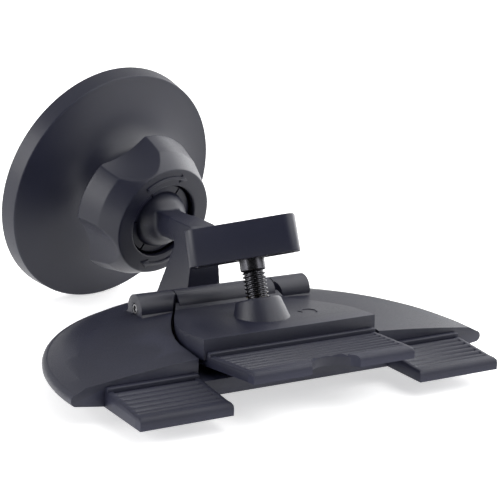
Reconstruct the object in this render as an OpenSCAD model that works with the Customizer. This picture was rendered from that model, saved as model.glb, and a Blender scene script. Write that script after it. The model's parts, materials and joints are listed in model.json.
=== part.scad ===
// Phone mount that clamps in the disc slot of a car's dashboard.
// Two fixed prongs and a hinged blade spread in the slot; a ball joint carries the magnetic head.
// Origin: middle of the stop face, at the underside of the prongs. The prongs reach towards -Y.

/* [Slot blades] */
// Width over the two lower prongs
blade_span = 104; // [103:0.5:105]
// Clear width between the two lower prongs
prong_gap = 54.6; // [54.4:0.2:55.2]
// Reach of the prongs ahead of the stop face
prong_reach = 18; // [17:0.5:19]
// Reach of the upper blade ahead of the stop face
blade_reach = 19.6; // [19:0.2:20]
// Thickness of a prong at its tip, rubber included
tip_t = 3; // [2.8:0.1:3.2]
// Thickness of the fork plate where it passes the stop face
fork_t = 4; // [3.8:0.1:4.2]
// Number of ribs on each lower pad
prong_ribs = 6; // [5:1:7]
// Number of ribs on the upper pad
blade_ribs = 7; // [6:1:8]

/* [Base plate] */
// Radius of the half-moon plate
plate_r = 60.9; // [60:0.1:62]
// Distance from the stop face back to the centre of the half-moon
plate_centre_y = 2.9; // [2:0.1:4]
// Height of the plate's crown
crown_z = 11.2; // [11:0.1:11.4]
// Distance from the stop face back to the crown's highest point
crown_y = 40; // [38:1:42]
// Radius of the sphere that the crown follows
crown_r = 430; // [420:1:460]
// Gap around the hinged clamp plate
clamp_gap = 0.7; // [0.5:0.1:1]

/* [Hinge and clamp] */
// Distance from the stop face back to the hinge axis
hinge_y = 33.9; // [33.5:0.1:34.2]
// Height of the hinge axis
hinge_z = 11.65; // [11.6:0.05:12]
// Radius of the hinge barrel
barrel_r = 3.8; // [3.7:0.1:3.9]
// Half length of the clamp's middle knuckle
mid_knuckle = 14.75; // [14.5:0.25:15.5]
// Offset of the knuckles along the hinge
hinge_x = -0.75; // [-1:0.05:0]
// Half length over the base's outer knuckles
hinge_half = 25.85; // [25:0.05:26.5]
// Radius of the hinge pin
pin_r = 1.5; // [1.4:0.1:1.6]
// Tilt of the clamp plate as shown, front edge up
clamp_tilt = 4.2; // [4:0.1:4.4]

/* [Screw and knob] */
// Lean of the screw from upright, towards the hinge
screw_lean = 21.9; // [21.5:0.1:22.3]
// Outer radius of the screw thread
screw_r = 3; // [2.9:0.1:3.1]
// Thread pitch of the screw
screw_pitch = 1; // [0.8:0.1:1.25]
// Length of the knob's bar
knob_w = 28.8; // [27:0.1:32]
// Thickness of the knob's bar
knob_d = 9; // [8.6:0.2:10]
// Height of the knob's bar
knob_h = 9.7; // [9:0.1:10]
// Turn of the knob about the screw as shown
knob_turn = -36; // [-45:1:0]

/* [Arm and ball] */
// Distance from the stop face back to the ball's centre
ball_y = 72.6; // [72:0.1:73]
// Height of the ball's centre
ball_z = 25.2; // [25:0.1:25.6]
// Radius of the ball
ball_r = 8.5; // [8.4:0.1:8.6]

/* [Head] */
// Turn of the head to the side as shown
head_pan = 11.3; // [8:0.1:14]
// Tilt of the head upwards as shown
head_lift = 13.2; // [10:0.1:16]
// Radius of the head's front edge
head_r = 35.5; // [34.8:0.1:36]
// Distance from the ball's centre to the edge where rim and dish meet
rim_back = 19.8; // [19.6:0.1:20.4]
// Depth of the rim
rim_t = 5.9; // [5.8:0.1:6.2]
// Largest radius of the lock nut
nut_r = 21.1; // [20.8:0.1:21.4]
// Number of finger scoops around the lock nut
nut_scoops = 4; // [3:1:5]
// Turn of the lock nut as shown
nut_turn = 63.8; // [0:0.1:90]
// Number of magnets in the head
magnet_count = 8; // [6:1:8]

/* [Hidden] */
$fn = 96;

// Clearances
running = 0.05;
clear = 0.3;
eps = 0.01;

// Base plate
flat_r = 51;
rim_nose_r = 1.55;
rim_nose_at = [plate_r - rim_nose_r, 2.7];
pillow_z = 11.5;
pillow_power = 5.1;
crown_reach = crown_y + 0.6 * plate_r;
recess_mouth = 26.8;
recess_straight = 9;
recess_back = hinge_y - 2;
foot_half = barrel_r + 2;
foot_fillet = 2.2;
foot_z = 9.7;
foot_base_z = 5;

// Fork and blades
fork_back = 28;
fork_back_half = 40;
web_front = 4;
nose_t = 2.5;
core_root_t = 2.6;
core_tip_t = 2;
rib_depth = 0.55;
rear_rib_w = 1.6;
rear_rib_rise = 0.9;
nose_round = 1.4;
blade_root_half = 24.6;
blade_tip_half = 23.3;
notch_r = 7.2;
notch_past_tip = 1.7;

// Clamp plate, in its own frame: s forward of the hinge axis, n up from it
clamp_front = hinge_y - 0.3;
clamp_top = -1.1;
clamp_under = -6.3;
blade_top = -5.15;
blade_t = 2.8;
blade_core_t = 2.1;
blade_root = 26;
blade_tip = hinge_y + blade_reach;
blade_screw_at = [14, -30];
hinge_fillet = 2;
insert_r = 4.2;
insert_length = 7;
boss_s = 17.4;
boss_n = 2.9;
boss_top_r = 6;
boss_base_r = 7.8;

// Screw, measured along its axis from the top of the boss
boss_top_y = hinge_y - boss_s * cos(clamp_tilt) + boss_n * sin(clamp_tilt);
boss_top_z = hinge_z + boss_s * sin(clamp_tilt) + boss_n * cos(clamp_tilt);
collar_r = 3.3;
collar_from = 7.4;
knob_from = 10.5;
knob_shift = -1.6;
knob_corner = 2.8;
knob_wall = 1.6;
knob_rib_t = 1;
knob_rib_x = [-8.5, 7.5];
hub_r = 4.2;
drive_r = 2.5;
drive_top = 16.5;
foot_r = 2.4;
wear_top = 4.5;
wear_t = 1;
wear_half = [7, 5.2];
foot_along = (wear_top + running + foot_r - boss_top_z) / cos(screw_lean);
wear_y = boss_top_y + foot_along * sin(screw_lean);
stem_r = 1.6;
stem_seat = foot_along + 0.6;
thread_from = stem_seat + 3;

// Arm
arm_front = hinge_y + 10.5;
arm_depth = 16.6;
arm_waist = 10.2;
arm_waist_z = ball_z - 4.2;
arm_foot_half = 5.8;
arm_top_half = 3.8;
arm_seat_z = 4.6;
neck_r = 3.8;
neck_z = ball_z - 0.6;
arm_screw_y = [arm_front + 4, arm_front + 12];
arm_screw_length = 9;

// Head, measured along its axis from the ball's centre
dish_r = head_r - 0.7;
nut_face = -3.65;
nut_hole_r = 10.9;
nut_face_r = 15.8;
nut_shoulder = [19.05, 2];
nut_end = 9;
nut_thread_at = 3.2;
nut_lead = 1.6;
scoop_r = 21;
scoop_front = 16.3;
scoop_back = 18;
finger_r = 10.5;
finger_end = -1.8;
thread_r = 14;
finger_slots = 6;
finger_slot_w = 1.2;
finger_slot_depth = 4.6;
liner_t = 0.8;
liner_half_angle = 50;
thrust_r = 6;
thrust_back = 11.4;
boss_floor = 13.6;
dish_back = nut_end + 1.6;
dish_root_r = thread_r + 2;
dish_wall = 2.4;
spigot_r = 32.4;
front_face = rim_back + rim_t;
cover_floor = 1.5;
cover_boss_r = 3;
pad_r = 31;
pad_t = 1;
pad_sunk = 0.5;
magnet_r = 5;
magnet_t = 1.6;
magnet_ring = 23;
yoke_r = 31.5;
yoke_t = 1;
yoke_back = front_face - cover_floor - magnet_t - yoke_t;
spigot_top = yoke_back - 0.1;
screw_ring = 13;
screw_count = 3;
screw_front = front_face - pad_sunk;

// Small screws
shank_r = 1.1;
head_r_small = 2.1;
head_t = 1.2;
fork_screw_length = 6.5;
blade_screw_length = 5;
cover_screw_length = 8;

plastic = [0.12, 0.12, 0.14];
rubber = [0.09, 0.09, 0.1];
steel = [0.7, 0.7, 0.72];
brass = [0.8, 0.65, 0.35];
nylon = [0.85, 0.85, 0.82];

function arc(centre, r, from, to, steps) =
    [for (i = [0:steps]) let (a = from + (to - from) * i / steps) centre + r * [cos(a), sin(a)]];

// Height of the crown at a distance r from its highest point
function crown(r) = crown_z - crown_r + sqrt(crown_r * crown_r - r * r);

// Height of the plate at a distance r from the half-moon's centre, where the crown's sphere is higher
function pillow(r) =
    let (rim_top = rim_nose_at.y + rim_nose_r)
    pillow_z - (pillow_z - rim_top) * pow(r / rim_nose_at.x, pillow_power);

// Edge of the recess for the clamp plate on one side, at a distance y behind the stop face
function recess_edge(side, y) =
    let (u = max(0, (y - recess_straight) / (recess_back - recess_straight)),
        mouth = side * recess_mouth, back = hinge_x + side * (mid_knuckle + clamp_gap))
    mouth + (back - mouth) * pow(u, 1.6);

// Extrudes a side outline, drawn as [y, z], across the object
module across(half) {
    rotate([90, 0, 90]) translate([0, 0, -half]) linear_extrude(2 * half) children();
}

module on_hinge() { translate([0, hinge_y, hinge_z]) children(); }

// Extrudes a side outline over the hinge's knuckles
module along_hinge(half) { translate([hinge_x, 0, 0]) across(half) children(); }

// Clamp frame: +Y back from the hinge axis, +Z up from the clamp plate
module in_clamp() { on_hinge() rotate([-clamp_tilt, 0, 0]) children(); }

// Screw frame: +Z up the screw, zero at the top of the boss
module in_screw() { translate([0, boss_top_y, boss_top_z]) rotate([-screw_lean, 0, 0]) children(); }

// Head frame: +Z from the ball towards the phone
module in_head() {
    translate([0, ball_y, ball_z]) rotate([0, 0, head_pan]) rotate([head_lift - 90, 0, 0]) children();
}

// Countersunk screw that stands on its head
module small_screw(length) {
    difference() {
        union() {
            cylinder(h = head_t, r1 = head_r_small, r2 = shank_r);
            cylinder(h = length, r = shank_r);
        }
        for (a = [0, 90]) rotate([0, 0, a]) translate([-1.2, -0.25, -eps]) cube([2.4, 0.5, 0.6]);
    }
}

module screw_hole(length) {
    rotate_extrude() polygon([[0, -1], [head_r_small, -1], [head_r_small, 0], [shank_r, head_t],
        [shank_r, length], [0, length]]);
}

// Outline of the clamp plate, from its front edge back to the hinge
module clamp_outline() {
    steps = 10;
    front = hinge_y - clamp_front;
    back = hinge_y - 1;
    edge = function(side) [for (i = [0:steps]) let (y = front + (back - front) * i / steps)
        [recess_edge(side, y) - side * clamp_gap * (2 - i / steps), y - hinge_y]];
    right = edge(1);
    left = edge(-1);
    polygon(concat(right, [for (i = [steps:-1:0]) left[i]]));
}

module recess_outline() {
    steps = 10;
    edge = function(side) concat([[side * recess_mouth, -eps]],
        [for (i = [0:steps]) let (y = recess_back * i / steps) [recess_edge(side, y), y]],
        [for (y = [recess_back, hinge_y + barrel_r + 1.2]) [hinge_x + side * (mid_knuckle + clear), y]]);
    right = edge(1);
    left = edge(-1);
    polygon(concat(right, [for (i = [len(left) - 1:-1:0]) left[i]]));
}

// Side outline of an outer knuckle: a round barrel on a flared foot
module knuckle_outline() {
    base = foot_base_z - hinge_z;
    fillet_at = [barrel_r - 0.3 + foot_fillet, foot_z - hinge_z + foot_fillet];
    circle(barrel_r);
    difference() {
        translate([-foot_half, base]) square([2 * foot_half, -base - 0.6]);
        for (side = [-1, 1]) translate([side * fillet_at.x, fillet_at.y]) circle(foot_fillet);
    }
}

// Pillow of the half-moon plate, cut down to the crown towards the stop face
module plate_solid() {
    steps = 10;
    top = [for (i = [0:steps]) let (r = rim_nose_at.x * sqrt(1 - i / steps)) [r, pillow(r)]];
    cap = [for (i = [steps:-1:0]) let (r = crown_reach * i / steps) [r, crown(r)]];
    intersection() {
        translate([0, plate_centre_y, 0]) rotate_extrude($fn = 180)
            polygon(concat([[0, 0], [flat_r, 0]], arc(rim_nose_at, rim_nose_r, -70, 80, 6), top));
        translate([0, crown_y, 0]) rotate_extrude($fn = 180)
            polygon(concat([[0, -1], [crown_reach, -1]], cap));
    }
}

module fork_outline() {
    half = blade_span / 2;
    shoulder = 12;
    right = [[prong_gap / 2, -web_front], [prong_gap / 2, nose_t - prong_reach],
        [half, nose_t - prong_reach], [half, shoulder], [fork_back_half, fork_back]];
    polygon(concat(right, [for (i = [4:-1:0]) [-right[i][0], right[i][1]]]));
}

// Half-moon plate with the hinge's two outer knuckles
module base_plate() {
    color(plastic) difference() {
        union() {
            intersection() {
                plate_solid();
                translate([-plate_r, 0, 0]) cube([2 * plate_r, 2 * plate_r, 2 * crown_z]);
            }
            for (side = [-1, 1])
                on_hinge() translate([side * (hinge_half + mid_knuckle + clear) / 2, 0, 0])
                    along_hinge((hinge_half - mid_knuckle - clear) / 2) knuckle_outline();
        }
        translate([0, 0, fork_t]) linear_extrude(2 * crown_z) recess_outline();
        translate([0, 0, -1]) linear_extrude(fork_t + 1) fork_outline();
        on_hinge() along_hinge(mid_knuckle + clear) circle(barrel_r + 0.5);
        on_hinge() along_hinge(hinge_half + 1) circle(pin_r);
        translate([-arm_foot_half, arm_front, arm_seat_z]) cube([2 * arm_foot_half, arm_depth, crown_z]);
        for (y = arm_screw_y) translate([0, y, 0]) screw_hole(arm_screw_length);
        fork_screw_places() cylinder(h = fork_screw_length, r = shank_r);
    }
}

module fork_screw_places() {
    for (x = [-44, -34, 34, 44]) translate([x, abs(x) > 40 ? 6 : 20, 0]) children();
}

// Plate with the two prongs; its middle is the floor under the clamp plate
module blade_fork() {
    color(plastic) difference() {
        linear_extrude(fork_t) fork_outline();
        for (side = [-1, 1]) translate([side * (blade_span + prong_gap) / 4, 0, 0])
            across((blade_span - prong_gap) / 4 + eps) polygon([[0, core_root_t], [-prong_reach, core_tip_t],
                [-prong_reach, fork_t + 1], [0, fork_t + 1]]);
        fork_screw_places() screw_hole(fork_t + 1);
        translate([-wear_half.x, wear_y - wear_half.y, wear_top - wear_t])
            cube([2 * wear_half.x, 2 * wear_half.y, 2 * wear_t]);
    }
}

module fork_screws() {
    color(steel) fork_screw_places() small_screw(fork_screw_length);
}

// Ribs between two points of a pad's side outline, rear to front
function ribs(start, end, count) =
    [for (i = [1:count * 6 - 1]) let (t = i / (count * 6), rib = t * count - floor(t * count))
        start + (end - start) * t - [0, rib_depth * (1 - sin(180 * rib))]];

// Side outline of a ribbed pad: root and tip are [y, z] on top of the ribs; the core runs under it
module pad_outline(root, tip, core_root, core_tip, under, count) {
    nose_back = tip + [nose_t + 0.6, 0];
    polygon(concat(
        [core_root, [root.x, root.y + rear_rib_rise - 0.4]],
        arc([root.x - 0.4, root.y + rear_rib_rise - 0.4], 0.4, 0, 90, 3),
        arc([root.x - rear_rib_w + 0.4, root.y + rear_rib_rise - 0.4], 0.4, 90, 180, 3),
        [[root.x - rear_rib_w, root.y - rib_depth]],
        ribs([root.x - rear_rib_w, root.y], nose_back, count),
        [nose_back - [0, rib_depth], nose_back],
        arc(tip + [nose_round, -nose_round], nose_round, 90, 180, 5),
        [[tip.x, under], [core_tip.x, under], core_tip]));
}

module prong_pad(side) {
    core_at_nose = core_tip_t + (core_root_t - core_tip_t) * nose_t / prong_reach;
    color(rubber) translate([side * (blade_span + prong_gap) / 4, 0, 0]) across((blade_span - prong_gap) / 4)
        pad_outline([0, fork_t + 0.2], [-prong_reach, tip_t], [0, core_root_t],
            [nose_t - prong_reach, core_at_nose], 0, prong_ribs);
}

module pad_left() { prong_pad(-1); }

module pad_right() { prong_pad(1); }

// Steel plate that the pressure foot bears on
module wear_plate() {
    color(steel) translate([-wear_half.x, wear_y - wear_half.y, wear_top - wear_t])
        cube([2 * wear_half.x, 2 * wear_half.y, wear_t]);
}

module hinge_pin() {
    color(steel) on_hinge() along_hinge(hinge_half) circle(pin_r);
}

// Post behind the hinge with the neck and the ball
module arm() {
    back = arm_front + arm_depth;
    waist = arm_front + arm_waist;
    neck_end = ball_y - 5;
    neck_top = neck_z + neck_r;
    bend = 3;
    color(plastic) difference() {
        union() {
            intersection() {
                across(arm_foot_half) polygon(concat(
                    [[arm_front, arm_seat_z], [arm_front, neck_top - 1], [arm_front + 2, neck_top]],
                    [[neck_end, neck_top], [neck_end, neck_z]],
                    arc([waist + bend, neck_z - bend], bend, 90, 180, 5),
                    [[waist, arm_waist_z], [back, arm_seat_z + 2], [back, arm_seat_z]]));
                rotate([90, 0, 0]) translate([0, 0, -ball_y]) linear_extrude(ball_y)
                    polygon([[-arm_foot_half, arm_seat_z], [-arm_top_half, neck_z],
                        [-arm_top_half, ball_z + ball_r], [arm_top_half, ball_z + ball_r],
                        [arm_top_half, neck_z], [arm_foot_half, arm_seat_z]]);
            }
            translate([0, waist, neck_z]) rotate([-90, 0, 0]) cylinder(h = ball_y - waist, r = neck_r);
            translate([0, ball_y, ball_z]) sphere(ball_r);
        }
        for (y = arm_screw_y) translate([0, y, 0]) cylinder(h = arm_screw_length, r = shank_r);
    }
}

module arm_screws() {
    color(steel) for (y = arm_screw_y) translate([0, y, 0]) small_screw(arm_screw_length);
}

// Outline of the upper blade's core, from its root under the clamp plate to its nose
module blade_outline() {
    polygon([[-blade_root_half, -blade_root], [-blade_root_half, -clamp_front],
        [-blade_tip_half, -blade_tip + nose_t], [blade_tip_half, -blade_tip + nose_t],
        [blade_root_half, -clamp_front], [blade_root_half, -blade_root]]);
}

module blade_screw_places() {
    for (side = [-1, 1])
        translate([side * blade_screw_at.x, blade_screw_at.y, blade_top - blade_t]) children();
}

// Side outline of the fillet between the clamp plate and its barrel
module hinge_fillet_outline() {
    polygon([[-barrel_r - 1.2 * hinge_fillet, clamp_top - eps],
        [-barrel_r - 0.3 * hinge_fillet, clamp_top + 0.25 * hinge_fillet],
        [-barrel_r + 0.3 * hinge_fillet, clamp_top + hinge_fillet],
        [-1, clamp_top + hinge_fillet], [-1, clamp_top - eps]]);
}

// Hinged plate with the middle knuckle and the inclined screw boss
module clamp_plate() {
    core_top = blade_top - blade_t + blade_core_t;
    color(plastic) difference() {
        union() {
            in_clamp() difference() {
                union() {
                    translate([0, 0, clamp_under]) linear_extrude(clamp_top - clamp_under) clamp_outline();
                    intersection() {
                        along_hinge(mid_knuckle + 2 * hinge_fillet) hinge_fillet_outline();
                        translate([0, 0, clamp_top - 1]) linear_extrude(2 * barrel_r) clamp_outline();
                    }
                }
                translate([-blade_span / 2, -barrel_r, -3 * barrel_r])
                    cube([blade_span, 3 * barrel_r, 2.5 * barrel_r]);
            }
            in_clamp() along_hinge(mid_knuckle) circle(barrel_r);
            intersection() {
                in_screw() rotate_extrude() polygon([[0, 0], [boss_top_r - 0.5, 0], [boss_top_r, -0.5],
                    [boss_base_r, -6.5], [boss_base_r, -8], [0, -8]]);
                in_clamp() translate([-2 * boss_base_r, -hinge_y, clamp_under])
                    cube([4 * boss_base_r, hinge_y, 2 * hinge_y]);
            }
        }
        in_clamp() translate([0, 0, clamp_under - 1])
            linear_extrude(core_top - clamp_under + 1) blade_outline();
        in_clamp() blade_screw_places() cylinder(h = blade_screw_length, r = shank_r);
        in_clamp() along_hinge(mid_knuckle + 1) circle(pin_r + running);
        in_screw() translate([0, 0, -2 * hinge_y]) cylinder(h = 2 * hinge_y + 1, r = insert_r);
    }
}

module upper_blade() {
    color(plastic) in_clamp() difference() {
        translate([0, 0, blade_top - blade_t]) linear_extrude(blade_core_t) blade_outline();
        translate([0, -blade_tip - notch_past_tip, -3 * barrel_r]) cylinder(h = 3 * barrel_r, r = notch_r);
        blade_screw_places() screw_hole(blade_screw_length);
    }
}

module blade_screws() {
    color(steel) in_clamp() blade_screw_places() small_screw(blade_screw_length);
}

module pad_upper() {
    core_top = blade_top - blade_t + blade_core_t;
    color(rubber) in_clamp() difference() {
        intersection() {
            across(blade_root_half) pad_outline([-clamp_front, blade_top], [-blade_tip, blade_top],
                [-clamp_front, core_top], [nose_t - blade_tip, core_top], blade_top - blade_t, blade_ribs);
            translate([0, 0, -3 * barrel_r]) linear_extrude(4 * barrel_r)
                polygon([[-blade_root_half, -clamp_front], [-blade_tip_half, -blade_tip],
                    [blade_tip_half, -blade_tip], [blade_root_half, -clamp_front]]);
        }
        translate([0, -blade_tip - notch_past_tip, -3 * barrel_r]) cylinder(h = 4 * barrel_r, r = notch_r);
    }
}

// Brass bush that takes the screw's thread
module thread_insert() {
    color(brass) in_screw() difference() {
        translate([0, 0, -insert_length]) cylinder(h = insert_length, r = insert_r);
        translate([0, 0, -insert_length - 1]) cylinder(h = insert_length + 2, r = screw_r + running);
    }
}

module pressure_foot() {
    color(nylon) in_screw() difference() {
        union() {
            translate([0, 0, foot_along]) sphere(foot_r);
            translate([0, 0, foot_along]) cylinder(h = 2.6, r = foot_r);
        }
        translate([0, 0, stem_seat - running]) cylinder(h = 5, r = stem_r + running);
    }
}

// Thread crests as rings, a stem for the foot and a plain collar under the knob
module clamp_screw() {
    root_r = screw_r - 0.5 * screw_pitch;
    turns = floor((collar_from - thread_from) / screw_pitch);
    thread_top = thread_from + turns * screw_pitch;
    crests = [for (i = [0:turns - 1]) let (start = thread_from + i * screw_pitch)
        each [[root_r, start], [screw_r, start + 0.42 * screw_pitch], [screw_r, start + 0.58 * screw_pitch]]];
    color(steel) in_screw() rotate_extrude() polygon(concat(
        [[0, stem_seat], [stem_r, stem_seat], [stem_r, thread_from]], crests,
        [[root_r, thread_top], [collar_r, thread_top + 0.3], [collar_r, knob_from], [drive_r, knob_from],
         [drive_r, drive_top], [0, drive_top]]));
}

module bar_outline(w, d, r) {
    polygon(concat(
        arc([w / 2 - r, d / 2 - r], r, 0, 90, 6), arc([r - w / 2, d / 2 - r], r, 90, 180, 6),
        arc([r - w / 2, r - d / 2], r, 180, 270, 6), arc([w / 2 - r, r - d / 2], r, 270, 360, 6)));
}

// Hollow bar with a hub for the screw's head and two stiffening ribs
module knob() {
    inner_w = knob_w - 2 * knob_wall;
    inner_d = knob_d - 2 * knob_wall;
    depth = knob_h - knob_wall;
    color(plastic) in_screw() rotate([0, 0, knob_turn]) translate([0, 0, knob_from]) difference() {
        union() {
            translate([knob_shift, 0, 0]) difference() {
                linear_extrude(knob_h) bar_outline(knob_w, knob_d, knob_corner);
                translate([0, 0, -eps]) linear_extrude(depth)
                    bar_outline(inner_w, inner_d, knob_corner - knob_wall);
            }
            cylinder(h = knob_h, r = hub_r);
            for (x = knob_rib_x) translate([x, -inner_d / 2, 1])
                cube([knob_rib_t, inner_d, depth - 1 + eps]);
        }
        translate([0, 0, -eps]) cylinder(h = drive_top - knob_from + eps, r = drive_r);
    }
}

// Nylon shell between the ball and the head
module ball_liner() {
    color(nylon) in_head() intersection() {
        difference() {
            sphere(ball_r + running + liner_t);
            sphere(ball_r + running);
        }
        cylinder(h = 2 * ball_r, r1 = 0, r2 = 2 * ball_r * tan(liner_half_angle));
    }
}

// Disc that backs the liner
module thrust_disc() {
    outer = ball_r + 2 * running + liner_t;
    color(rubber) in_head() difference() {
        translate([0, 0, outer - 2]) cylinder(h = thrust_back - outer + 2, r = thrust_r);
        sphere(outer);
    }
}

// Grip ring that squeezes the collet
module lock_nut() {
    depth = nut_end - nut_face;
    lean = atan((scoop_back - scoop_front) / depth);
    middle = [scoop_r + (scoop_front + scoop_back) / 2, 0, nut_face + depth / 2];
    color(plastic) in_head() difference() {
        rotate_extrude() polygon([[nut_hole_r, nut_face], [nut_face_r, nut_face], nut_shoulder,
            [nut_r, nut_end - 0.6], [nut_r - 0.6, nut_end], [thread_r + clear, nut_end],
            [thread_r + clear, nut_face + nut_thread_at], [nut_hole_r, nut_face + nut_lead]]);
        for (i = [0:nut_scoops - 1]) rotate([0, 0, nut_turn + i * 360 / nut_scoops])
            translate(middle) rotate([0, lean, 0]) cylinder(h = 2 * depth, r = scoop_r, center = true);
    }
}

// Trumpet-shaped back of the head; its stem ends in the collet fingers that hold the ball
module head_housing() {
    dish = [for (i = [0:10]) let (a = 90 * i / 10)
        [dish_root_r + (dish_r - dish_root_r) * (1 - cos(a)), dish_back + (rim_back - dish_back) * sin(a)]];
    back = [[finger_r, finger_end], [finger_r, -1], [thread_r, nut_lead], [thread_r, nut_end + 0.4]];
    front = [[spigot_r, rim_back], [spigot_r, spigot_top], [spigot_r - dish_wall, spigot_top],
        [24, rim_back + 0.6], [19, rim_back - 1.4], [14, boss_floor + 1.2], [8, boss_floor], [0, boss_floor]];
    color(plastic) in_head() difference() {
        union() {
            rotate_extrude() polygon(concat([[0, finger_end]], back, dish, front));
            cover_screw_places() translate([0, 0, boss_floor])
                cylinder(h = spigot_top - boss_floor, r = cover_boss_r);
        }
        sphere(ball_r + running);
        intersection() {
            sphere(ball_r + 2 * running + liner_t);
            cylinder(h = 2 * ball_r, r = 2 * ball_r);
        }
        cylinder(h = thrust_back + clear, r = thrust_r + clear);
        for (i = [0:finger_slots - 1]) rotate([0, 0, i * 360 / finger_slots])
            translate([0, -finger_slot_w / 2, finger_end - 1])
                cube([finger_r + 2, finger_slot_w, finger_slot_depth + 1]);
        cover_screw_places() translate([0, 0, screw_front - cover_screw_length])
            cylinder(h = cover_screw_length, r = shank_r);
    }
}

module cover_screw_places() {
    for (i = [0:screw_count - 1])
        rotate([0, 0, i * 360 / screw_count]) translate([screw_ring, 0, 0]) children();
}

// Steel disc behind the magnets
module yoke_plate() {
    color(steel) in_head() difference() {
        translate([0, 0, yoke_back]) cylinder(h = yoke_t, r = yoke_r);
        cover_screw_places() translate([0, 0, yoke_back - 1]) cylinder(h = yoke_t + 2, r = cover_boss_r);
    }
}

module magnets() {
    color(steel) in_head() for (i = [0:magnet_count - 1]) rotate([0, 0, i * 360 / magnet_count])
        translate([magnet_ring, 0, yoke_back + yoke_t]) cylinder(h = magnet_t, r = magnet_r);
}

module cover_screws() {
    color(steel) in_head() cover_screw_places() translate([0, 0, screw_front]) mirror([0, 0, 1])
        small_screw(cover_screw_length);
}

// Cup that closes the head; its wall is the head's rim
module front_cover() {
    wall_r = spigot_r;
    floor_back = front_face - cover_floor;
    color(plastic) in_head() difference() {
        union() {
            rotate_extrude() polygon([[wall_r, rim_back], [dish_r, rim_back], [head_r, front_face - 0.8],
                [head_r - 0.8, front_face], [0, front_face], [0, floor_back], [wall_r, floor_back]]);
            cover_screw_places() translate([0, 0, yoke_back])
                cylinder(h = floor_back - yoke_back + 0.5, r = cover_boss_r);
        }
        translate([0, 0, screw_front]) cylinder(h = 1, r = pad_r);
        cover_screw_places() translate([0, 0, screw_front]) mirror([0, 0, 1]) screw_hole(cover_screw_length);
    }
}

module front_pad() {
    color(rubber) in_head() translate([0, 0, screw_front]) cylinder(h = pad_t, r = pad_r);
}

base_plate();
blade_fork();
fork_screws();
pad_left();
pad_right();
wear_plate();
hinge_pin();
arm();
arm_screws();
clamp_plate();
upper_blade();
blade_screws();
pad_upper();
thread_insert();
pressure_foot();
clamp_screw();
knob();
ball_liner();
thrust_disc();
lock_nut();
head_housing();
yoke_plate();
magnets();
cover_screws();
front_cover();
front_pad();
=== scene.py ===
"""Looks of the dashboard-slot phone mount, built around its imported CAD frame.

Metres, in the row frame: origin in the middle of the stop face, the prongs reach towards -Y, +Z is up.
"""

import json
import math

import bmesh
import bpy
from mathutils import Matrix, Vector


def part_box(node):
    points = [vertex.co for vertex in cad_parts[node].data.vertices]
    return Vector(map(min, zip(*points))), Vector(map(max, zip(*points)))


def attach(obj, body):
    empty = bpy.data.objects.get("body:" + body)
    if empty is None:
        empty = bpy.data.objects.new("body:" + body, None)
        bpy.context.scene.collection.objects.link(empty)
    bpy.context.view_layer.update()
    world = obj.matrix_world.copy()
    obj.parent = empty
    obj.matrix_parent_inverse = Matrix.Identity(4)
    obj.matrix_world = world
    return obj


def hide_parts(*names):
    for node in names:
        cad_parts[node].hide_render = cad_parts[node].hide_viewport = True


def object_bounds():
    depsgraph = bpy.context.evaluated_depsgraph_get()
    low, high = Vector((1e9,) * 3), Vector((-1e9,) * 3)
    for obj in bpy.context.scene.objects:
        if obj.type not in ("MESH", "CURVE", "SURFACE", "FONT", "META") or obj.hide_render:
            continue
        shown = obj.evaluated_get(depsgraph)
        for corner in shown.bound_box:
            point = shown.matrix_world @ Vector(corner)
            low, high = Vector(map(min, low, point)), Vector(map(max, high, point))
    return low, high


MM = 0.001

# Camera: place, aim and lens
CAMERA_AT = Vector((-0.21819, -0.32775, 0.13559))
CAMERA_AZIMUTH = math.radians(-31.993)
CAMERA_ELEVATION = math.radians(14.685)
CAMERA_ROLL = math.radians(2.281)
LENS = 118.8
SENSOR = 36

# Stage: where the lights aim, which side of the surroundings is dark, and how bright they are
LIGHT_AIM = Vector((0, 0.03, 0.025))
DARK_SIDE = Vector((-0.45, -0.85, 0.1)).normalized()
SKY_BRIGHT = 0.75
SKY_DARK = 0.06
FLOOR_HALF = 3
FLOOR_GAP = 0.0002

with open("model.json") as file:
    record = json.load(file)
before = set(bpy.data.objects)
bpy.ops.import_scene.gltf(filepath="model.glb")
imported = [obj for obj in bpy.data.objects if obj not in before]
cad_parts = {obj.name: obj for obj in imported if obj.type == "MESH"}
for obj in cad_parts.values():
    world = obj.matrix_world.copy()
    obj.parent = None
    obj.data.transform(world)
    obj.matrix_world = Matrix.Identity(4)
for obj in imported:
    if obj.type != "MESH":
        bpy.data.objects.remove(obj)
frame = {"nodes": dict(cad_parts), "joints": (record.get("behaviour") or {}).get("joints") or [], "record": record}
cad_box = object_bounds()
nodes = frame["nodes"]


# ---------------------------------------------------------------- materials

def new_material(name):
    """An empty node material and its shader."""
    material = bpy.data.materials.new(name)
    material.use_nodes = True
    tree = material.node_tree
    tree.nodes.clear()
    output = tree.nodes.new("ShaderNodeOutputMaterial")
    shader = tree.nodes.new("ShaderNodeBsdfPrincipled")
    tree.links.new(shader.outputs[0], output.inputs["Surface"])
    return material, tree, shader


def noise_node(tree, scale, detail=2, roughness=0.5):
    """Noise over the object's own coordinates; scale is in features per metre."""
    place = tree.nodes.new("ShaderNodeTexCoord")
    texture = tree.nodes.new("ShaderNodeTexNoise")
    texture.inputs["Scale"].default_value = scale
    texture.inputs["Detail"].default_value = detail
    texture.inputs["Roughness"].default_value = roughness
    tree.links.new(place.outputs["Object"], texture.inputs["Vector"])
    return texture


def ramp(tree, source, low, high, from_low=0.3, from_high=0.7):
    """Turns a 0 to 1 value into one between low and high."""
    node = tree.nodes.new("ShaderNodeMapRange")
    node.inputs["From Min"].default_value = from_low
    node.inputs["From Max"].default_value = from_high
    node.inputs["To Min"].default_value = low
    node.inputs["To Max"].default_value = high
    tree.links.new(source, node.inputs["Value"])
    return node.outputs[0]


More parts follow.
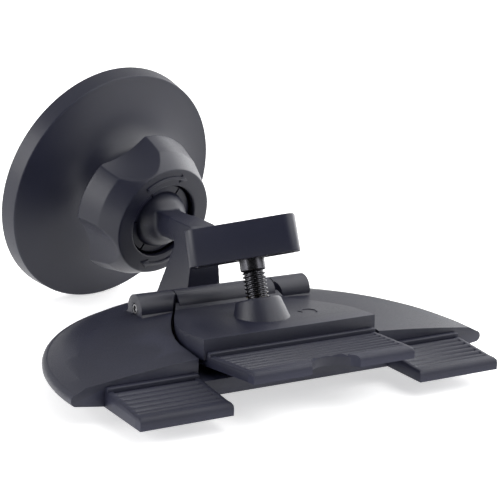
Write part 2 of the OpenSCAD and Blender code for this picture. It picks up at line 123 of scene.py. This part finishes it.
def colour_mix(tree, factor, dark, light):
    node = tree.nodes.new("ShaderNodeMix")
    node.data_type = "RGBA"
    node.inputs["A"].default_value = (*dark, 1)
    node.inputs["B"].default_value = (*light, 1)
    tree.links.new(factor, node.inputs["Factor"])
    return node.outputs["Result"]


def moulded(name, colour, spread, roughness, grain, depth, edge_highlight=0.35, specular=0.5):
    """Moulded plastic or rubber: fine grain, slow colour variation, and a painted highlight that makes convex
    edges a little paler.
    """
    material, tree, shader = new_material(name)
    slow = noise_node(tree, 60, 3)
    fine = noise_node(tree, grain, 3, 0.65)
    base = colour_mix(tree, ramp(tree, slow.outputs["Fac"], 0, 1), colour, [c * (1 + spread) for c in colour])
    geometry = tree.nodes.new("ShaderNodeNewGeometry")
    # Painted highlight: convex edges, picked out by pointiness, are mixed towards a paler colour.
    edges = ramp(tree, geometry.outputs["Pointiness"], 0, edge_highlight, 0.52, 0.6)
    edge_highlighted = tree.nodes.new("ShaderNodeMix")
    edge_highlighted.data_type = "RGBA"
    edge_highlighted.inputs["B"].default_value = (*[min(1, c * 2.4 + 0.01) for c in colour], 1)
    tree.links.new(edges, edge_highlighted.inputs["Factor"])
    tree.links.new(base, edge_highlighted.inputs["A"])
    tree.links.new(edge_highlighted.outputs["Result"], shader.inputs["Base Color"])
    uneven = ramp(tree, fine.outputs["Fac"], roughness - 0.06, roughness + 0.06)
    tree.links.new(uneven, shader.inputs["Roughness"])
    shader.inputs["Specular IOR Level"].default_value = specular
    bump = tree.nodes.new("ShaderNodeBump")
    bump.inputs["Strength"].default_value = 1
    bump.inputs["Distance"].default_value = depth * MM
    tree.links.new(fine.outputs["Fac"], bump.inputs["Height"])
    tree.links.new(bump.outputs["Normal"], shader.inputs["Normal"])
    return material


def metal(name, colour, roughness, grain, depth):
    """Plated or turned metal with fine scratches in its roughness."""
    material, tree, shader = new_material(name)
    fine = noise_node(tree, grain, 4, 0.7)
    slow = noise_node(tree, 90, 2)
    base = colour_mix(tree, ramp(tree, slow.outputs["Fac"], 0, 1), [c * 0.85 for c in colour], colour)
    tree.links.new(base, shader.inputs["Base Color"])
    shader.inputs["Metallic"].default_value = 1
    uneven = ramp(tree, fine.outputs["Fac"], roughness - 0.08, roughness + 0.1)
    tree.links.new(uneven, shader.inputs["Roughness"])
    bump = tree.nodes.new("ShaderNodeBump")
    bump.inputs["Distance"].default_value = depth * MM
    tree.links.new(fine.outputs["Fac"], bump.inputs["Height"])
    tree.links.new(bump.outputs["Normal"], shader.inputs["Normal"])
    return material


LOOKS = {
    "grained_plastic": moulded("grained_plastic", (0.0072, 0.008, 0.0185), 0.25, 0.44, 3000, 0.035,
                               specular=0.44),
    "satin_plastic": moulded("satin_plastic", (0.0068, 0.0076, 0.018), 0.2, 0.4, 2200, 0.008, specular=0.42),
    "rubber": moulded("rubber", (0.0085, 0.0093, 0.0205), 0.3, 0.55, 2600, 0.03, specular=0.34),
    "black_steel": metal("black_steel", (0.07, 0.07, 0.078), 0.25, 1500, 0.006),
    "steel": metal("steel", (0.2, 0.2, 0.21), 0.34, 1500, 0.008),
    "zinc_screw": metal("zinc_screw", (0.55, 0.56, 0.58), 0.34, 1500, 0.01),
    "nickel": metal("nickel", (0.7, 0.68, 0.64), 0.25, 1200, 0.006),
    "brass": metal("brass", (0.72, 0.52, 0.22), 0.3, 1500, 0.008),
    "nylon": moulded("nylon", (0.62, 0.61, 0.57), 0.05, 0.45, 1800, 0.01),
}
SLOT_OF = {part["node"]: part["material_slot"] for part in frame["record"]["subparts"]}
BODY_OF = {node: body for body, members in frame["record"]["behaviour"]["bodies"].items() for node in members}
JOINTS = {joint["name"]: joint for joint in frame["joints"]}

for node, cad in nodes.items():
    cad.data.materials.clear()
    cad.data.materials.append(LOOKS[SLOT_OF[node]])


# ---------------------------------------------------------------- mesh helpers

def add_piece(name, mesh, body, slot, replaced=()):
    """Puts a finished mesh in the scene, with its material, its body and the CAD nodes it replaces."""
    mesh.materials.clear()
    mesh.materials.append(LOOKS[slot])
    piece = bpy.data.objects.new(name, mesh)
    bpy.context.scene.collection.objects.link(piece)
    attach(piece, body)
    if replaced:
        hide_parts(*replaced)
    return piece


def with_modifiers(mesh, *steps):
    """The mesh after a list of modifiers, each given as (kind, settings)."""
    carrier = bpy.data.objects.new("carrier", mesh)
    bpy.context.scene.collection.objects.link(carrier)
    for kind, settings in steps:
        modifier = carrier.modifiers.new(kind.lower(), kind)
        for key, value in settings.items():
            setattr(modifier, key, value)
    evaluated = carrier.evaluated_get(bpy.context.evaluated_depsgraph_get())
    result = bpy.data.meshes.new_from_object(evaluated)
    bpy.data.objects.remove(carrier)
    return result


def smooth_shaded(mesh, sharp=35):
    """Smooth shading with creases where faces meet at more than the given angle."""
    work = bmesh.new()
    work.from_mesh(mesh)
    for face in work.faces:
        face.smooth = True
    limit = math.radians(sharp)
    for edge in work.edges:
        edge.smooth = len(edge.link_faces) != 2 or edge.calc_face_angle(0) < limit
    work.to_mesh(mesh)
    work.free()
    return mesh


def clean_copy(node, flat_angle=0.6):
    """A copy of a CAD node's mesh with its triangles joined into flat faces."""
    mesh = nodes[node].data.copy()
    work = bmesh.new()
    work.from_mesh(mesh)
    bmesh.ops.remove_doubles(work, verts=work.verts, dist=0.002 * MM)
    bmesh.ops.dissolve_degenerate(work, edges=work.edges, dist=0.001 * MM)
    bmesh.ops.dissolve_limit(work, angle_limit=math.radians(flat_angle), verts=work.verts, edges=work.edges)
    work.to_mesh(mesh)
    work.free()
    return mesh


def bevelled(node, width, segments=3, angle=32):
    """A CAD node's shape with its edges rounded."""
    mesh = with_modifiers(
        clean_copy(node),
        ("BEVEL", {"width": width * MM, "segments": segments, "limit_method": "ANGLE",
                   "angle_limit": math.radians(angle), "use_clamp_overlap": True}),
        ("WEIGHTED_NORMAL", {"keep_sharp": True, "weight": 60}),
    )
    return smooth_shaded(mesh, 50)


# ---------------------------------------------------------------- frames of the moving parts

def joint_point(name):
    """Where a joint's axis passes, in mm."""
    return Vector(JOINTS[name]["pos_m"]) / MM


def joint_axis(name):
    return Vector(JOINTS[name]["axis"]).normalized()


def frame_at(origin, x_axis, z_axis):
    """A right-handed frame in mm with the given x and z axes."""
    y_axis = z_axis.cross(x_axis)
    turn = Matrix((x_axis, y_axis, z_axis)).transposed()
    return Matrix.Translation(origin) @ turn.to_4x4()


ACROSS = Vector((1, 0, 0))
CLAMP_TILT = math.radians(4.2)
# Head: z from the ball towards the phone. Screw: z up the screw, zero at the top of the boss.
# Clamp: y back from the hinge axis, z up from the clamp plate.
HEAD = frame_at(joint_point("ball_spin"), joint_axis("ball_lift"), joint_axis("ball_spin"))
SCREW = frame_at(joint_point("knob_turn"), ACROSS, -joint_axis("knob_turn"))
CLAMP = frame_at(joint_point("clamp_hinge"), ACROSS, Vector((0, math.sin(CLAMP_TILT), math.cos(CLAMP_TILT))))


# ---------------------------------------------------------------- shape helpers

def arc(centre, radius, start, end, steps):
    """Points on an arc, angles in degrees."""
    angles = [math.radians(start + (end - start) * i / steps) for i in range(steps + 1)]
    return [(centre[0] + radius * math.cos(a), centre[1] + radius * math.sin(a)) for a in angles]


def rounded(corners, steps=4):
    """A closed outline with its corners rounded; each corner is (u, v, how far the rounding reaches)."""
    outline = []
    count = len(corners)
    for i, (u, v, reach) in enumerate(corners):
        here = Vector((u, v))
        if not reach:
            outline.append((u, v))
            continue
        before = Vector(corners[i - 1][:2]) - here
        after = Vector(corners[(i + 1) % count][:2]) - here
        start = here + before.normalized() * min(reach, before.length * 0.45)
        end = here + after.normalized() * min(reach, after.length * 0.45)
        for k in range(steps + 1):
            t = k / steps
            outline.append(tuple(start * (1 - t) ** 2 + here * 2 * t * (1 - t) + end * t ** 2))
    return outline


def refined(outline, longest):
    """The outline with its long stretches divided."""
    result = []
    for (u0, v0), (u1, v1) in zip(outline, outline[1:] + outline[:1]):
        parts = max(1, math.ceil(math.hypot(u1 - u0, v1 - v0) / longest))
        result += [(u0 + (u1 - u0) * i / parts, v0 + (v1 - v0) * i / parts) for i in range(parts)]
    return result


def finished(work, name, sharp):
    """The mesh of a bmesh, merged, with outward normals and smooth shading."""
    bmesh.ops.remove_doubles(work, verts=work.verts, dist=0.001 * MM)
    bmesh.ops.recalc_face_normals(work, faces=work.faces)
    mesh = bpy.data.meshes.new(name)
    work.to_mesh(mesh)
    work.free()
    return smooth_shaded(mesh, sharp)


def lofted(rings, place, closed, name="loft", sharp=30):
    """Skins rings of equal point counts, given in mm in a frame; open lofts get flat ends."""
    work = bmesh.new()
    made = [[work.verts.new(place @ Vector(point) * MM) for point in ring] for ring in rings]
    size = len(rings[0])
    following = made[1:] + made[:1] if closed else made[1:]
    for ring, after in zip(made, following):
        for i in range(size):
            j = (i + 1) % size
            work.faces.new((ring[i], ring[j], after[j], after[i]))
    if not closed:
        work.faces.new(made[0])
        work.faces.new(made[-1])
    return finished(work, name, sharp)


def turned(profile, place, steps=192, radius=None, sharp=30):
    """A closed profile of (radius, height) turned about z; radius(r, z, angle) may alter it."""
    rings = []
    for r, z in profile:
        ring = []
        for i in range(steps):
            angle = 2 * math.pi * i / steps
            here = radius(r, z, angle) if radius else r
            ring.append((here * math.cos(angle), here * math.sin(angle), z))
        rings.append(ring)
    return lofted(rings, place, True, "turned", sharp)


def prism(outline, low, high, place, sharp=30):
    """A flat outline of (x, y) given thickness along z."""
    return lofted([[(x, y, z) for x, y in outline] for z in (low, high)], place, False, "prism", sharp)


def combined(mesh, tools, operation):
    """The mesh after a boolean with each of the tool meshes."""
    for tool in tools:
        carrier = bpy.data.objects.new("tool", tool)
        bpy.context.scene.collection.objects.link(carrier)
        settings = {"operation": operation, "object": carrier, "solver": "EXACT"}
        mesh = with_modifiers(mesh, ("BOOLEAN", settings))
        bpy.data.objects.remove(carrier)
    return mesh


def around(count, start=0):
    """Turns about z by equal steps."""
    return [Matrix.Rotation(math.radians(start) + 2 * math.pi * i / count, 4, "Z") for i in range(count)]


def soft_min(a, b, width):
    """The smaller of two values, with the change from one to the other rounded."""
    low, high = min(a, b), max(a, b)
    return low - width * math.log1p(math.exp((low - high) / width))


# ---------------------------------------------------------------- lock nut

NUT_FACE = -3.65
NUT_END = 9
NUT_R = 21.1
NUT_SHOULDER_R = 19.05
NUT_FACE_R = 15.9
NUT_HOLE_R = 10.9
NUT_THREAD_R = 14.3
NUT_TURN = 63.8
NUT_SCOOPS = 4
SCOOPED_FROM_R = 15
SCOOP_R = 16.2
SCOOP_DEEPEST = -3
SCOOP_FLARE = 0.013
SCOOP_FLATNESS = 44
SCOOP_EDGE = 0.07
ARROW_R = 13.3


def nut_radius(r, z, angle):
    """Cuts the finger scoops into the nut's outer wall."""
    if r < SCOOPED_FROM_R:
        return r
    step = 2 * math.pi / NUT_SCOOPS
    away = (angle - math.radians(NUT_TURN) + step / 2) % step - step / 2
    middle = SCOOP_R + SCOOP_FLARE * (z - SCOOP_DEEPEST) ** 2
    bow = math.sin(away) ** 2 / SCOOP_FLATNESS
    inside = math.cos(away) ** 2 - 4 * bow * middle
    if inside <= 0:
        return r
    scoop = 2 * middle / (math.cos(away) + math.sqrt(inside))
    return soft_min(r, scoop, SCOOP_EDGE)


def add_nut():
    corners = [(NUT_HOLE_R, NUT_FACE, 0.4), (NUT_FACE_R, NUT_FACE, 0.3), (NUT_SHOULDER_R, 2, 0.3),
               (NUT_R, NUT_END - 0.2, 0.4), (NUT_R - 0.3, NUT_END, 0.3), (NUT_THREAD_R, NUT_END, 0),
               (NUT_THREAD_R, NUT_FACE + 3.2, 0), (NUT_HOLE_R, NUT_FACE + 1.6, 0.2)]
    mesh = turned(refined(rounded(corners), 0.4), HEAD, 600, nut_radius, 40)
    add_piece("lock_nut_shell", mesh, "nut", SLOT_OF["lock_nut"], ("lock_nut",))


def arc_arrow(radius, start, end, width, head_width, head_length):
    """Outline of an arrow bent along an arc; it points towards the end angle."""
    neck = end - math.copysign(math.degrees(head_length / radius), end - start)
    outer = arc((0, 0), radius + width / 2, start, neck, 16)
    inner = arc((0, 0), radius - width / 2, neck, start, 16)
    shoulder = [arc((0, 0), radius + side * head_width / 2, neck, neck, 1)[0] for side in (1, -1)]
    tip = arc((0, 0), radius, end, end, 1)[0]
    return outer + [shoulder[0], tip, shoulder[1]] + inner


def add_arrow_mark(name, body, slot, place, outline, height):
    """A raised arrow that stands a little way into the surface under it."""
    mesh = with_modifiers(
        prism(outline, -0.1, height, place),
        ("BEVEL", {"width": 0.3 * height * MM, "segments": 2, "limit_method": "ANGLE"}))
    add_piece(name, smooth_shaded(mesh, 40), body, slot)


def add_nut_arrows():
    face_up = HEAD @ Matrix.Translation((0, 0, NUT_FACE)) @ Matrix.Rotation(math.pi, 4, "X")
    for i, (start, end) in enumerate(((128, 64), (-52, -116))):
        outline = arc_arrow(ARROW_R, start, end, 1, 2.6, 2.6)
        add_arrow_mark("nut_arrow_%d" % (i + 1), "nut", SLOT_OF["lock_nut"], face_up, outline, 0.3)


# ---------------------------------------------------------------- head

BALL_R = 8.5
FINGER_R = 10.5
FINGER_END = -1.8
FINGER_SLOTS = 6
DISH_R = 34.8
DISH_BACK = 10.6
RIM_BACK = 19.8
STEM_R = 14
SPIGOT_R = 32.4
SPIGOT_TOP = 21.5
COVER_SCREWS = 3
COVER_SCREW_RING = 13
COVER_BOSS_R = 3
COVER_PILOT_R = 1.1
COLLET_SLOT_W = 0.6
COLLET_SLOT_LENGTH = 4.6
DISH_STEPS = 48
ARM_VOXEL = 0.22
NECK_FROM = 4.5
NECK_TO = 15
NECK_BELOW = 9
NECK_PASSES = 70


def cylinder(radius, low, high, place, steps=48):
    return turned([(0, low), (radius, low), (radius, high), (0, high)], place, steps)


def add_housing():
    """Collet, stem and smooth trumpet-shaped dish."""
    cup = BALL_R + 0.05
    socket = BALL_R + 0.9
    pocket = 6.3
    lip = math.degrees(math.asin(FINGER_END / cup))
    brim = math.degrees(math.acos(pocket / socket))
    root = STEM_R + 2
    flare = DISH_R - root
    depth = RIM_BACK - DISH_BACK
    dish = []
    for i in range(DISH_STEPS + 1):
        a = math.radians(90 * i / DISH_STEPS)
        dish.append((root + flare * (1 - math.cos(a)), DISH_BACK + depth * math.sin(a)))
    dish[-1] = (DISH_R - 0.25, RIM_BACK - 0.03)
    stem = [(FINGER_R - 0.3, FINGER_END), (FINGER_R, FINGER_END + 0.3), (FINGER_R, -1), (STEM_R, 1.6),
            (STEM_R, 9.4)]
    front = [(DISH_R - 0.05, RIM_BACK + 0.08), (SPIGOT_R, RIM_BACK + 0.08), (SPIGOT_R, SPIGOT_TOP),
             (SPIGOT_R - 2.4, SPIGOT_TOP), (24, 20.4), (19, 18.4), (14, 14.8), (8, 13.6), (0, 13.6),
             (0, 11.7), (pocket, 11.7)]
    profile = stem + dish + front + arc((0, 0), socket, brim, 0, 12) + arc((0, 0), cup, 0, lip, 6)
    mesh = turned(profile, HEAD, 240)
    places = [HEAD @ turn @ Matrix.Translation((COVER_SCREW_RING, 0, 0)) for turn in around(COVER_SCREWS)]
    bosses = [cylinder(COVER_BOSS_R, 13, SPIGOT_TOP, place) for place in places]
    pilots = [cylinder(COVER_PILOT_R, 17.2, 25, place) for place in places]
    half = COLLET_SLOT_W / 2
    slot_outline = [(0, -half), (FINGER_R + 2, -half), (FINGER_R + 2, half), (0, half)]
    slots = [prism(slot_outline, FINGER_END - 1, FINGER_END + COLLET_SLOT_LENGTH, HEAD @ turn)
             for turn in around(FINGER_SLOTS)]
    mesh = combined(mesh, bosses, "UNION")
    mesh = combined(mesh, pilots + slots, "DIFFERENCE")
    add_piece("head_housing_shell", smooth_shaded(mesh, 28), BODY_OF["head_housing"], SLOT_OF["head_housing"],
              ("head_housing",))


def add_arm():
    """The arm as cast: its edges and the neck's joins run softly into one another."""
    mesh = with_modifiers(
        clean_copy("arm"),
        ("REMESH", {"mode": "VOXEL", "voxel_size": ARM_VOXEL * MM}),
        ("SMOOTH", {"factor": 0.5, "iterations": 8}))
    work = bmesh.new()
    work.from_mesh(mesh)
    ball = HEAD.translation * MM
    neck = [v for v in work.verts
            if NECK_FROM * MM < ball.y - v.co.y < NECK_TO * MM and v.co.z > ball.z - NECK_BELOW * MM]
    for _ in range(NECK_PASSES):
        bmesh.ops.smooth_vert(work, verts=neck, factor=0.5, use_axis_x=True, use_axis_y=True, use_axis_z=True)
    work.to_mesh(mesh)
    work.free()
    add_piece("arm_cast", smooth_shaded(mesh, 180), "base", SLOT_OF["arm"], ("arm",))


# ---------------------------------------------------------------- rubber pads

NOSE_T = 2.5
NOSE_ROUND = 1.4
RIB_DEPTH = 0.55
REAR_RIB_W = 1.6
REAR_RIB_RISE = 0.9
PAD_BORDER = 1.2
PAD_EDGE = ((0, 0.3), (0.09, 0.12), (0.3, 0))   # rounding of the side edges: how far in, how far down
LOWER_PAD_ROOT = 4.2
LOWER_PAD_TIP = 3
LOWER_RIBS = 6
UPPER_RIBS = 7


def pad_section(root, tip, core, under, count, ribbed, drop):
    """Side outline (y, z) of a pad; ribbed is 1 among the ribs and 0 on the plain border."""
    nose_back = (tip[0] + NOSE_T + 0.6, tip[1])
    crest = root[1] + REAR_RIB_RISE - 0.4
    start = (root[0] - REAR_RIB_W, root[1])
    depth = RIB_DEPTH * ribbed
    points = [core[0]]
    points += arc((root[0] - 0.4, crest), 0.4, 0, 90, 4)
    points += arc((root[0] - REAR_RIB_W + 0.4, crest), 0.4, 90, 180, 4)
    reach = nose_back[0] - start[0]
    rise = nose_back[1] - start[1]
    steps = count * 12
    for i in range(steps + 1):
        t = i / steps
        hollow = depth * (1 - abs(math.sin(math.pi * t * count)) ** 0.75)
        points.append((start[0] + reach * t, start[1] + rise * t - hollow))
    points += [nose_back]
    points += arc((tip[0] + NOSE_ROUND, tip[1] - NOSE_ROUND), NOSE_ROUND, 90, 180, 6)
    points += [(tip[0], under), (core[1][0], under), core[1]]
    top = max(core[0][1], core[1][1])
    return [(y, z - drop if z > top else z) for y, z in points]


def ribbed_pad(place, half_at, root, tip, core, under, count):
    """A pad with ribs across it and a plain border along its two sides."""
    narrow = half_at(tip[0])
    stations = []
    for side in (-1, 1):
        near = []
        for inset, drop in PAD_EDGE:
            near.append((side * (1 - inset / narrow), 0, drop))
        for k in range(5):
            ribbed = k / 4
            near.append((side * (1 - (PAD_BORDER + 0.35 * ribbed) / narrow), ribbed, 0))
        stations += near if side < 0 else near[::-1]
    rings = []
    for u, ribbed, drop in stations:
        section = pad_section(root, tip, core, under, count, ribbed, drop)
        rings.append([(u * half_at(y), y, z) for y, z in section])
    return lofted(rings, place, False, "pad", 38)


def add_lower_pads():
    for node in ("pad_left", "pad_right"):
        low, high = (Vector(c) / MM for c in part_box(node))
        half = (high.x - low.x) / 2
        place = Matrix.Translation(((low.x + high.x) / 2, 0, 0))
        root = (0, LOWER_PAD_ROOT)
        tip = (low.y, LOWER_PAD_TIP)
        core = ((0, 2.6), (low.y + NOSE_T, 2.08))
        mesh = ribbed_pad(place, lambda y: half, root, tip, core, 0, LOWER_RIBS)
        add_piece(node + "_rubber", mesh, "base", "rubber", (node,))


def add_upper_pad():
    front = -33.6
    tip = -53.5
    top = -5.15
    core_top = top - 0.7
    half_front = 24.6
    half_tip = 23.3
    notch_r = 7.2

    def half_at(y):
        return half_front + (half_tip - half_front) * min(1, (front - y) / (front - tip))

    core = ((front, core_top), (tip + NOSE_T, core_top))
    mesh = ribbed_pad(CLAMP, half_at, (front, top), (tip, top), core, top - 2.8, UPPER_RIBS)
    notch = cylinder(notch_r, -12, 4, CLAMP @ Matrix.Translation((0, tip - 1.7, 0)), 96)
    mesh = combined(mesh, [notch], "DIFFERENCE")
    add_piece("pad_upper_rubber", smooth_shaded(mesh, 38), "clamp", "rubber", ("pad_upper",))


# ---------------------------------------------------------------- screw, pin and mark

THREAD_R = 3
THREAD_ROOT_R = 2.5
THREAD_PITCH = 1
THREAD_FROM = -6
THREAD_TO = 7.2
FOOT_STEM_R = 1.6
COLLAR_R = 3.3
COLLAR_TO = 10.5
SHANK_R = 2.5
SHANK_TO = 16.5
PIN_DRILL_R = 0.85
CLAMP_MARK_AT = (13, -21.5, -1.1)


def add_screw():
    """Helical thread between the stem for the foot and the plain collar."""
    low = Vector(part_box("clamp_screw")[0]) / MM

    def thread(r, z, angle):
        if r != THREAD_R:
            return r
        phase = (z / THREAD_PITCH - angle / (2 * math.pi)) % 1
        rise = max(0, min(1, 1.5 - 4 * abs(phase - 0.5)))
        ends = min(1, (z - THREAD_FROM) / 0.6, (THREAD_TO - z) / 0.3)
        return THREAD_ROOT_R + (THREAD_R - THREAD_ROOT_R) * rise * max(0, ends)

    axis = SCREW.to_3x3() @ Vector((0, 0, 1))
    bottom = (low.z - SCREW.translation.z + FOOT_STEM_R * math.sqrt(1 - axis.z ** 2)) / axis.z
    rings = int((THREAD_TO - THREAD_FROM) * 12)
    profile = [(0, bottom), (FOOT_STEM_R - 0.2, bottom), (FOOT_STEM_R, bottom + 0.2), (FOOT_STEM_R, THREAD_FROM)]
    profile += [(THREAD_R, THREAD_FROM + (THREAD_TO - THREAD_FROM) * i / rings) for i in range(rings + 1)]
    profile += [(COLLAR_R - 0.2, THREAD_TO + 0.2), (COLLAR_R, THREAD_TO + 0.4), (COLLAR_R, COLLAR_TO),
                (SHANK_R, COLLAR_TO), (SHANK_R, SHANK_TO - 0.3), (SHANK_R - 0.3, SHANK_TO), (0, SHANK_TO)]
    mesh = turned(profile, SCREW, 72, thread, 34)
    add_piece("clamp_screw_threaded", mesh, BODY_OF["clamp_screw"], SLOT_OF["clamp_screw"], ("clamp_screw",))


def add_hinge_pin():
    """Pin with chamfered, centre-drilled ends."""
    low, high = (Vector(c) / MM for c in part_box("hinge_pin"))
    radius = (high.z - low.z) / 2
    middle = (low + high) / 2
    half = (high.x - low.x) / 2
    place = frame_at(middle, Vector((0, 1, 0)), ACROSS)
    end = [(radius, half - 0.35), (radius - 0.25, half), (PIN_DRILL_R, half), (PIN_DRILL_R - 0.15, half - 0.5),
           (0, half - 0.9)]
    profile = [(r, -h) for r, h in end[::-1]] + end
    mesh = turned(profile, place, 48)
    add_piece("hinge_pin_drilled", mesh, BODY_OF["hinge_pin"], SLOT_OF["hinge_pin"], ("hinge_pin",))


def add_clamp_mark():
    """Small curved arrow beside the boss, for the way the knob turns."""
    top = CLAMP @ Matrix.Translation(CLAMP_MARK_AT)
    outline = arc_arrow(2.2, -60, 190, 0.45, 1.5, 1.4)
    add_arrow_mark("clamp_arrow", "clamp", SLOT_OF["clamp_plate"], top, outline, 0.15)


# ---------------------------------------------------------------- stage

def add_camera():
    """The camera at the viewing angle of the reference view."""
    azimuth, elevation = CAMERA_AZIMUTH, CAMERA_ELEVATION
    back = Vector((math.sin(azimuth) * math.cos(elevation), -math.cos(azimuth) * math.cos(elevation),
                   math.sin(elevation)))
    right = Vector((math.cos(azimuth), math.sin(azimuth), 0))
    up = back.cross(right)
    level = Matrix((right, up, back)).transposed()
    data = bpy.data.cameras.new("camera")
    data.lens = LENS
    data.sensor_width = SENSOR
    camera = bpy.data.objects.new("camera", data)
    rolled = level @ Matrix.Rotation(CAMERA_ROLL, 3, "Z")
    camera.matrix_world = Matrix.Translation(CAMERA_AT) @ rolled.to_4x4()
    bpy.context.scene.collection.objects.link(camera)
    bpy.context.scene.camera = camera


def add_floor():
    """A plain pale floor just under the lowest point."""
    half = FLOOR_HALF
    z = cad_box[0].z - FLOOR_GAP
    corners = [(-half, -half, z), (half, -half, z), (half, half, z), (-half, half, z)]
    mesh = bpy.data.meshes.new("floor")
    mesh.from_pydata(corners, [], [(0, 1, 2, 3)])
    floor = bpy.data.objects.new("floor", mesh)
    bpy.context.scene.collection.objects.link(floor)
    material, tree, shader = new_material("floor")
    shader.inputs["Base Color"].default_value = (0.9, 0.9, 0.9, 1)
    shader.inputs["Roughness"].default_value = 0.9
    shader.inputs["Emission Color"].default_value = (1, 1, 1, 1)
    shader.inputs["Emission Strength"].default_value = 0.55
    mesh.materials.append(material)


def add_light(name, at, size, watts):
    """A square area light that faces the middle of the object."""
    data = bpy.data.lights.new(name, "AREA")
    data.shape = "SQUARE"
    data.size = size
    data.energy = watts
    light = bpy.data.objects.new(name, data)
    light.location = at
    aim = LIGHT_AIM - Vector(at)
    light.rotation_euler = aim.to_track_quat("-Z", "Y").to_euler()
    bpy.context.scene.collection.objects.link(light)


def add_world():
    """White surroundings that fall dark on the camera's side, as a studio's do."""
    world = bpy.data.worlds.new("studio")
    world.use_nodes = True
    tree = world.node_tree
    background = tree.nodes["Background"]
    background.inputs["Color"].default_value = (1, 1, 1, 1)
    place = tree.nodes.new("ShaderNodeTexCoord")
    facing = tree.nodes.new("ShaderNodeVectorMath")
    facing.operation = "DOT_PRODUCT"
    facing.inputs[1].default_value = DARK_SIDE
    tree.links.new(place.outputs["Generated"], facing.inputs[0])
    strength = ramp(tree, facing.outputs["Value"], SKY_BRIGHT, SKY_DARK, 0.05, 0.8)
    tree.links.new(strength, background.inputs["Strength"])
    bpy.context.scene.world = world


for node, width in (("base_plate", 0.6), ("clamp_plate", 0.45), ("blade_fork", 0.3), ("upper_blade", 0.25),
                    ("knob", 0.7), ("front_cover", 0.22)):
    add_piece(node + "_soft", bevelled(node, width), BODY_OF[node], SLOT_OF[node], (node,))
add_nut()
add_nut_arrows()
add_housing()
add_arm()
add_lower_pads()
add_upper_pad()
add_screw()
add_hinge_pin()
add_clamp_mark()

add_camera()
add_floor()
add_world()
add_light("top", (0.5, -0.35, 0.75), 1.3, 12)
add_light("left", (-0.75, 0.15, 0.3), 0.5, 4)
add_light("right", (0.75, 0.3, 0.3), 0.6, 4)
bpy.context.scene.view_settings.view_transform = "Standard"
